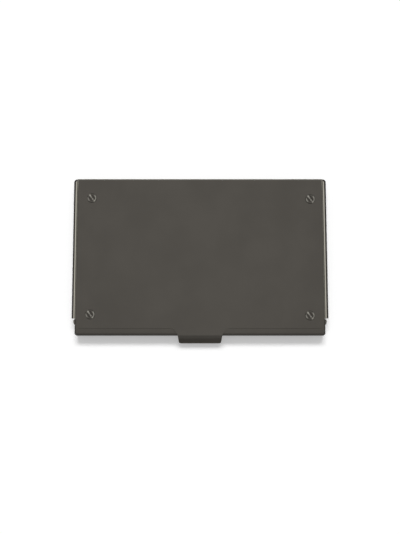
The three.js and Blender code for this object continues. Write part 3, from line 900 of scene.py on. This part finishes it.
def ring_patch(columns, rows, centre, radius, height):
    """Square of a flat sheet with a round hole: lines from the hole's rim straight out to the edge."""
    x0, x1, y0, y1 = columns[0], columns[-1], rows[0], rows[-1]
    edge = np.concatenate([
        np.stack([columns, np.full(len(columns), y0)], 1),
        np.stack([np.full(len(rows) - 1, x1), rows[1:]], 1),
        np.stack([columns[-2::-1], np.full(len(columns) - 1, y1)], 1),
        np.stack([np.full(len(rows) - 1, x0), rows[-2::-1]], 1)])
    away = edge - centre
    rim = centre + away / np.linalg.norm(away, axis=1, keepdims=True) * radius
    flat = rim + np.linspace(0, 1, 3)[:, None, None] * (edge - rim)
    return np.concatenate([flat, np.full(flat.shape[:2] + (1,), height)], 2)


def level_blocks(columns, rows, height, holes=(), shift=None):
    """Flat sheet cut into blocks at the ends of each run of columns and rows. A block that holds a hole's
    centre becomes a ring patch, and shift moves the points of the rest."""
    blocks = []
    for run_y in rows:
        for run_x in columns:
            inside = [hole for hole in holes
                      if run_x[0] < hole[0] < run_x[-1] and run_y[0] < hole[1] < run_y[-1]]
            if inside:
                blocks.append(ring_patch(run_x, run_y, np.array(inside[0][:2]), inside[0][2], height))
                continue
            y, x = np.meshgrid(run_y, run_x, indexing="ij")
            x, y = (x, y) if shift is None else shift(x, y)
            blocks.append(np.stack([x, y, np.full_like(x, height)], 2))
    return blocks


def across(half):
    """Runs of columns from -half to half, cut at the rivets' squares. All widths of the sheet are among them,
    so that strips of different widths share their points."""
    widths = np.unique([BACK_X, FRONT_WALL_X, LID_X, FLOOR_X])
    outer = np.concatenate([PLUG_COLUMNS[-1:], widths[widths <= half + HAIR]])
    middle = np.array([-PLUG_COLUMNS[0], 0, PLUG_COLUMNS[0]])
    return [-outer[::-1], -PLUG_COLUMNS[::-1], middle, PLUG_COLUMNS, outer]


def strip(view, half):
    """A side view (y, z) carried from -half to half."""
    x = np.concatenate(across(half))
    x = x[np.concatenate([[True], np.diff(x) > 0])]
    shape = (len(view), len(x))
    return np.stack([np.broadcast_to(part, shape) for part in (x, view[:, :1], view[:, 1:])], 2)


def tray_skin():
    """Outside of the tray's sheet between its rails: wall, bend, floor, sloping foot and round back, in
    strips of their own widths. The foot leaves the back where its round, at 45 degrees, meets it."""
    front = tray_low[1]
    leave_y = HINGE_Y + BACK_RADIUS * math.sqrt(0.5)
    leave_z = HINGE_Z - BACK_RADIUS * math.sqrt(0.5)
    foot_y = leave_y - leave_z
    narrow_y = foot_y - NARROW_STEP
    widen_y = front + TRAY_BEND + WIDEN_STEP
    a = np.linspace(0, math.pi / 2, 9)
    wall = np.concatenate([
        np.stack([np.full(6, front), np.linspace(WALL_HEIGHT, TRAY_BEND, 6)], 1),
        np.stack([front + TRAY_BEND * (1 - np.cos(a)), TRAY_BEND * (1 - np.sin(a))], 1)[1:],
        [[widen_y, 0]]])
    turns = np.linspace(BACK_LOW, BACK_TOP, 25)
    back = np.concatenate([
        [[narrow_y, 0], [foot_y, 0]],
        np.stack([np.linspace(foot_y, leave_y, 6), np.linspace(0, leave_z, 6)], 1)[1:],
        np.stack([HINGE_Y + BACK_RADIUS * np.cos(turns), HINGE_Z + BACK_RADIUS * np.sin(turns)], 1)[1:]])
    rail_foot = RAIL_FRONT + RAIL_RAKE
    near, far = np.array([widen_y, rail_foot]), np.array([rail_foot, PLUG_ROWS[0]])
    rear = np.array([PLUG_ROWS[-1], narrow_y])
    holes = [(side * PLUG_X, 0.0, PLUG_HOLE) for side in (-1, 1)]
    return ([strip(wall, FRONT_WALL_X), strip(back, BACK_X)] + level_blocks(across(LID_X), [near], 0.0)
            + level_blocks(across(FLOOR_X), [far, PLUG_ROWS, rear], 0.0, holes))


make_piece("tray_rails", [rail(-1), rail(1)], "base", tray_finish, "base_tray")
tray_sheet = make_piece("tray_sheet", tray_skin(), "base", tray_finish, "base_tray",
                        out=(0, 0, -1))
# The floor's sides run on into the rails, so they stay sharp.
thicken(tray_sheet, TRAY_SHEET, lambda x, y, z: np.abs(x) > FLOOR_X - NEAR_BY)


# Turned pieces: rivets, washers, nuts and screws

ROUND = np.linspace(0, 2 * math.pi, 49)


def turned(profile, centre):
    """Profile (radius, height) turned about an upright line: x = cx + r cos a, y = cy + r sin a."""
    r, z = np.asarray(profile).T[:, :, None]
    return np.stack([centre[0] + r * np.cos(ROUND), centre[1] + r * np.sin(ROUND), z + 0 * ROUND], 2)


def on_axle(profile, side):
    """Profile (radius, distance from the middle of the case) turned about the hinge axis: y = y0 + r cos a,
    z = z0 + r sin a."""
    r, x = np.asarray(profile).T[:, :, None]
    return np.stack([side * x + 0 * ROUND, HINGE_Y + r * np.cos(ROUND), HINGE_Z + r * np.sin(ROUND)], 2)


def hinge_rivet():
    """Head inside the flange, shank, and a domed head outside the rail."""
    inside, outside = axle_low[0], axle_high[0]
    neck = inside + RIVET_HEAD_HEIGHT
    seat = RAIL_X + SEAT_GAP
    return rounded([
        (0, inside, 0), (RIVET_HEAD, inside, RIVET_CORNER), (RIVET_HEAD, neck, RIVET_NECK_CORNER),
        (RIVET_SHANK, neck, 0), (RIVET_SHANK, seat, 0), (RIVET_HEAD, seat, RIVET_SEAT_CORNER),
        (RIVET_HEAD, seat + RIVET_RIM, RIVET_RIM_CORNER),
        (RIVET_HEAD * RIVET_CROWN_SHARE, outside, RIVET_CROWN), (0, outside, 0),
    ], steps=6, closed=False)


def hinge_washer():
    """Flat ring between flange and rail."""
    inside, outside = washer_low[0], washer_high[0]
    return rounded([
        (WASHER_BORE, inside, WASHER_BORE_CORNER), (WASHER_RADIUS, inside, WASHER_CORNER),
        (WASHER_RADIUS, outside, WASHER_CORNER), (WASHER_BORE, outside, WASHER_BORE_CORNER)], steps=3)


def spring_rivet(low, high):
    """Plug through the tray's floor and a low head on the spring."""
    head = (high[0] - low[0]) / 2
    seat = spring_low[2] + SPRING_SHEET + SEAT_GAP
    return rounded([
        (0, low[2], 0), (PLUG_RADIUS, low[2], PLUG_CORNER), (PLUG_RADIUS, seat, 0),
        (head, seat, PLUG_SEAT_CORNER), (head, seat + PLUG_RIM, PLUG_CORNER),
        (PLUG_RADIUS, high[2], PLUG_CROWN), (0, high[2], 0)], steps=6, closed=False)


def press_nut(low, high):
    """Ring with a wide head against the lid."""
    neck = high[2] - NUT_HEAD_HEIGHT
    return rounded([
        (NUT_BORE, low[2], NUT_CORNER), (NUT_SHANK, low[2], NUT_FOOT_CORNER), (NUT_SHANK, neck, 0),
        (NUT_HEAD, neck, NUT_CORNER), (NUT_HEAD, high[2], NUT_CORNER),
        (NUT_BORE, high[2], NUT_CORNER)], steps=3)


for side, word in SIDES:
    make_piece(f"axle_rivet_{word}", [on_axle(hinge_rivet(), side)], "base", rivet_finish,
               f"hinge_rivet_{word}")
    make_piece(f"axle_washer_{word}", [on_axle(hinge_washer(), side)], "base", washer_finish,
               f"hinge_washer_{word}")

for side, word in SIDES:
    plug = turned(spring_rivet(*box_mm(f"spring_rivet_{word}")), (side * PLUG_X, 0))
    make_piece(f"leaf_rivet_{word}", [plug], "base", rivet_finish, f"spring_rivet_{word}")


def screw_light_and_shade(around, r):
    """Painted light and shade on a screw's face, at a turn around from the slot's line and a radius r:
    painted highlights along the slot's middle, at its left end and on two stretches of the rim, and painted
    shade beside the slot, below zero."""
    along, off = r * np.cos(around), np.abs(r * np.sin(around))
    gleam = (1 - smooth(off, *GLEAM_SIDE)) * (1 - smooth(np.abs(along), *GLEAM_LENGTH)) * GLEAM
    gleam = gleam + np.exp(-((along + GLEAM_TIP)**2 + off**2) / GLEAM_TIP_SPREAD**2)
    a = around + SLOT_TURN
    right = smooth(np.cos(a - RIM_RIGHT), *RIM_RIGHT_REACH)
    left = smooth(np.cos(a - RIM_LEFT), *RIM_LEFT_REACH) * RIM_LEFT_SHARE
    rim = between(r, RIM_IN, RIM_OUT) * np.maximum(right, left)
    painted_shade = between(off, PAINTED_SHADE_IN, PAINTED_SHADE_OUT) * (1 - smooth(r, *PAINTED_SHADE_REACH))
    return np.clip(gleam + rim * RIM_HIGHLIGHT, 0, 1) - painted_shade * PAINTED_SHADE * (1 - np.clip(gleam, 0, 1))


def slotted(centre, low, crown):
    """Screw turned from its profile, with a straight slot, and its painted highlights and shade. The points
    of each ring crowd to the slot's two edges, at angle asin(w / r) from its line, so that its walls stay
    straight and upright."""
    seat = LID_TOP + SEAT_GAP
    profile = rounded([
        (0, crown, 0), (SCREW_HEAD - SCREW_DOME, crown, SCREW_CROWN_CORNER),
        (SCREW_HEAD - SCREW_TAPER, seat + SCREW_RIM, SCREW_RIM_CORNER),
        (SCREW_HEAD, seat, SCREW_SEAT_CORNER), (SCREW_SHANK, seat, 0),
        (SCREW_SHANK, low, SCREW_END_CORNER), (0, low, 0),
    ], steps=6, closed=False)
    half = SLOT_WIDTH / 2
    inner = half * SLOT_RING_SHARES
    profile = np.concatenate([profile[:1], np.stack([inner, np.full(len(inner), crown)], 1), profile[1:]])
    r, z = profile.T[:, :, None]
    upper = np.arange(len(r))[:, None] < np.argmax(z < seat + NEAR_BY)
    edge = np.arcsin(np.clip(half / np.maximum(r, inner[0]), 0, 1))
    edge = np.where(upper, edge, edge[upper][-1])
    wall = SLOT_WALL / np.maximum(r, half)
    slot_shares, beside_shares = np.linspace(0, 1, 5), np.linspace(0, 1, 9)
    beside = edge + wall + (math.pi / 2 - edge - wall) * beside_shares
    quarter = np.concatenate([(edge - wall) * slot_shares, beside], 1)
    around = np.concatenate([quarter, math.pi - quarter[:, -2::-1], math.pi + quarter[:, 1:],
                             2 * math.pi - quarter[:, -2::-1]], 1)
    within = np.arange(quarter.shape[1]) < len(slot_shares)
    ring = np.concatenate([within, within[-2::-1], within[1:], within[-2::-1]])
    deep = upper & (ring | (r < half))
    height = np.where(deep, np.minimum(z, crown - SLOT_DEPTH), z)
    a = around + SLOT_TURN
    grid = np.stack([centre[0] + r * np.cos(a), centre[1] + r * np.sin(a), height], 2)
    return grid, np.where(upper, screw_light_and_shade(around, r), 0)


for corner in CORNERS:
    low, high = box_mm(f"corner_screw_{corner}")
    centre = (low[:2] + high[:2]) / 2
    grid, light_shade_wear = slotted(centre, low[2], high[2])
    make_piece(f"screw_{corner}", [grid], "lid", screw_finish, f"corner_screw_{corner}",
               light_shade_wear=[light_shade_wear])
    nut = turned(press_nut(*box_mm(f"press_nut_{corner}")), centre)
    make_piece(f"nut_{corner}", [nut], "lid", nut_finish, f"press_nut_{corner}")


# Liner and card spring

def liner_blocks():
    """Flat plate with a hole at each nut. Near its ends the sides draw in by r - sqrt(r^2 - d^2), which makes
    its corners round."""
    boxes = [box_mm(f"press_nut_{corner}") for corner in CORNERS]
    places = np.array([(low[:2] + high[:2]) / 2 for low, high in boxes])
    margin = LINER_HOLE + LINER_MARGIN
    reach = liner_high[0]
    far, near = np.abs(places[:, 0]).max() + margin, np.abs(places[:, 0]).min() - margin
    front_low, front_high = places[:2, 1].min() - margin, places[:2, 1].max() + margin
    rear_low, rear_high = places[2:, 1].min() - margin, places[2:, 1].max() + margin
    block = np.linspace(near, far, 11)
    columns = [np.linspace(-reach, -far, 5), -block[::-1], np.linspace(-near, near, 9), block,
               np.linspace(far, reach, 5)]
    turned_in = LINER_CORNER * (1 - np.cos(np.linspace(0, math.pi / 2, 7)))
    first = np.unique(np.round([*(liner_low[1] + turned_in), front_low], DECIMALS))
    last = np.unique(np.round([rear_high, *(liner_high[1] - turned_in)], DECIMALS))
    last = last[last >= rear_high - HAIR]
    rows = [first, np.linspace(front_low, front_high, 9), np.linspace(front_high, rear_low, 9),
            np.linspace(rear_low, rear_high, 9), last]

    def draw_in(x, y):
        past = np.maximum(y - (liner_high[1] - LINER_CORNER), (liner_low[1] + LINER_CORNER) - y)
        d = np.clip(past, 0, LINER_CORNER)
        draw = LINER_CORNER - np.sqrt(LINER_CORNER**2 - d**2)
        share = np.clip((np.abs(x) - far) / (reach - far), 0, 1)
        return np.sign(x) * (np.abs(x) - draw * share), y

    return level_blocks(columns, rows, liner_high[2], [(*place, LINER_HOLE) for place in places], draw_in)


def leaf():
    """Spring leaf's underside: z = floor + rise t^2, with t from the flat middle to the tip. Near the tip its
    half width is w - r + sqrt(r^2 - d^2), which makes its corners round."""
    tip, wide = spring_high[0], spring_high[1]
    rise = spring_high[2] - spring_low[2] - SPRING_SHEET
    corner = tip - LEAF_CORNER
    end = tip - LEAF_CORNER * (1 - np.sin(np.linspace(0, math.pi / 2, 6)))
    x = np.concatenate([np.linspace(0, LEAF_FLAT, 5), np.linspace(LEAF_FLAT, corner, 20), end])
    x = np.unique(np.round(x, DECIMALS))
    x = np.concatenate([-x[:0:-1], x])
    t = np.clip((np.abs(x) - LEAF_FLAT) / (tip - LEAF_FLAT), 0, 1)
    d = np.clip(np.abs(x) - corner, 0, LEAF_CORNER)
    half = wide - LEAF_CORNER + np.sqrt(LEAF_CORNER**2 - d**2)
    y = half[:, None] * np.linspace(-1, 1, 9)
    return np.stack([x[:, None] + 0 * y, y, (spring_low[2] + rise * t**2)[:, None] + 0 * y], 2)


liner = make_piece("liner_plate", liner_blocks(), "lid", liner_finish, "lid_liner",
                   out=(0, 0, 1))
thicken(liner, liner_high[2] - liner_low[2])
spring = make_piece("spring_leaf", [leaf()], "base", spring_finish, "card_spring",
                    out=(0, 0, -1))
thicken(spring, SPRING_SHEET)


# Camera, table and light

def plan_camera():
    """Camera above the front of the case, at the photograph's angle and distance."""
    eye = bpy.data.cameras.new("camera")
    eye.sensor_fit = "VERTICAL"
    eye.sensor_height = CAMERA_SENSOR
    eye.lens = CAMERA_FOCAL * CAMERA_SENSOR / PHOTO_HEIGHT
    eye.clip_start, eye.clip_end = 0.01, TABLE_REACH
    rig = bpy.data.objects.new("camera", eye)
    bpy.context.collection.objects.link(rig)
    back = Vector((0, -math.cos(CAMERA_ELEVATION), math.sin(CAMERA_ELEVATION)))
    rig.location = Vector(CAMERA_TARGET) + back * CAMERA_DISTANCE
    rig.rotation_euler = (math.pi / 2 - CAMERA_ELEVATION, 0, 0)
    bpy.context.scene.camera = rig


def backdrop():
    """White world: full white to the camera, in gloss and through glass, softer as a light."""
    world = bpy.data.worlds.new("studio")
    bpy.context.scene.world = world
    sky = Nodes(world)
    inputs = {"Value": sky.seen("Is Transmission Ray"), "To Min": WORLD_LIGHT, "To Max": 1.0}
    strength = sky.add("ShaderNodeMapRange", {}, inputs)[0]
    light = sky.add("ShaderNodeBackground", {}, {"Color": (1, 1, 1, 1), "Strength": strength})[0]
    sky.add("ShaderNodeOutputWorld", {}, {"Surface": light})


def lay_table():
    """Wide pale table, a little brighter to the camera and to reflected rays so that it reads as white.
    From below it is clear."""
    paint = Paint("table_white")
    shown = paint.seen("Is Reflection Ray")
    plain = paint.add("ShaderNodeBsdfDiffuse", {}, {"Color": (TABLE_SHADE, TABLE_SHADE, TABLE_SHADE, 1)})[0]
    inputs = {"Color": (1, 1, 1, 1), "Strength": shown * TABLE_GLOW}
    glow = paint.add("ShaderNodeEmission", {}, inputs)[0]
    both = paint.add("ShaderNodeAddShader", {}, {0: plain, 1: glow})[0]
    clear = paint.add("ShaderNodeBsdfTransparent", {}, {})[0]
    under = paint.add("ShaderNodeNewGeometry", {}, {})["Backfacing"]
    surface = paint.add("ShaderNodeMixShader", {}, {0: under, 1: both, 2: clear})[0]
    paint.add("ShaderNodeOutputMaterial", {}, {0: surface})
    mesh = bpy.data.meshes.new("table")
    turns = ((-1, -1), (1, -1), (1, 1), (-1, 1))
    corners = [(x * TABLE_REACH, y * TABLE_REACH, TABLE_LEVEL) for x, y in turns]
    mesh.from_pydata(corners, [], [(0, 1, 2, 3)])
    mesh.materials.append(paint.material)
    table = bpy.data.objects.new("table", mesh)
    bpy.context.collection.objects.link(table)


def far_softbox(name, azimuth, elevation, spread, power):
    """Wide light from far away, kept out of gloss: its direction is in degrees, azimuth from the front."""
    lamp = bpy.data.lights.new(name, "SUN")
    lamp.angle = math.radians(spread)
    lamp.energy = power
    rig = bpy.data.objects.new(name, lamp)
    bpy.context.collection.objects.link(rig)
    turn, rise = math.radians(azimuth), math.radians(elevation)
    way = Vector((math.sin(turn) * math.cos(rise), -math.cos(turn) * math.cos(rise), math.sin(rise)))
    rig.rotation_euler = way.to_track_quat("Z", "Y").to_euler()
    rig.visible_glossy = False


def overhead_softbox():
    """Square light above and behind the case, facing it."""
    lamp = bpy.data.lights.new("overhead", "AREA")
    lamp.shape = "RECTANGLE"
    lamp.size = lamp.size_y = OVERHEAD_SIZE
    lamp.energy = OVERHEAD_POWER
    rig = bpy.data.objects.new("overhead", lamp)
    bpy.context.collection.objects.link(rig)
    rig.location = OVERHEAD_PLACE
    rig.rotation_euler = (Vector() - Vector(OVERHEAD_PLACE)).to_track_quat("-Z", "Y").to_euler()


plan_camera()
backdrop()
lay_table()
for word, azimuth in KEY_AZIMUTHS:
    far_softbox(f"key_{word}", azimuth, KEY_ELEVATION, KEY_SPREAD, KEY_POWER)
overhead_softbox()

bpy.context.scene.view_settings.view_transform = "Standard"
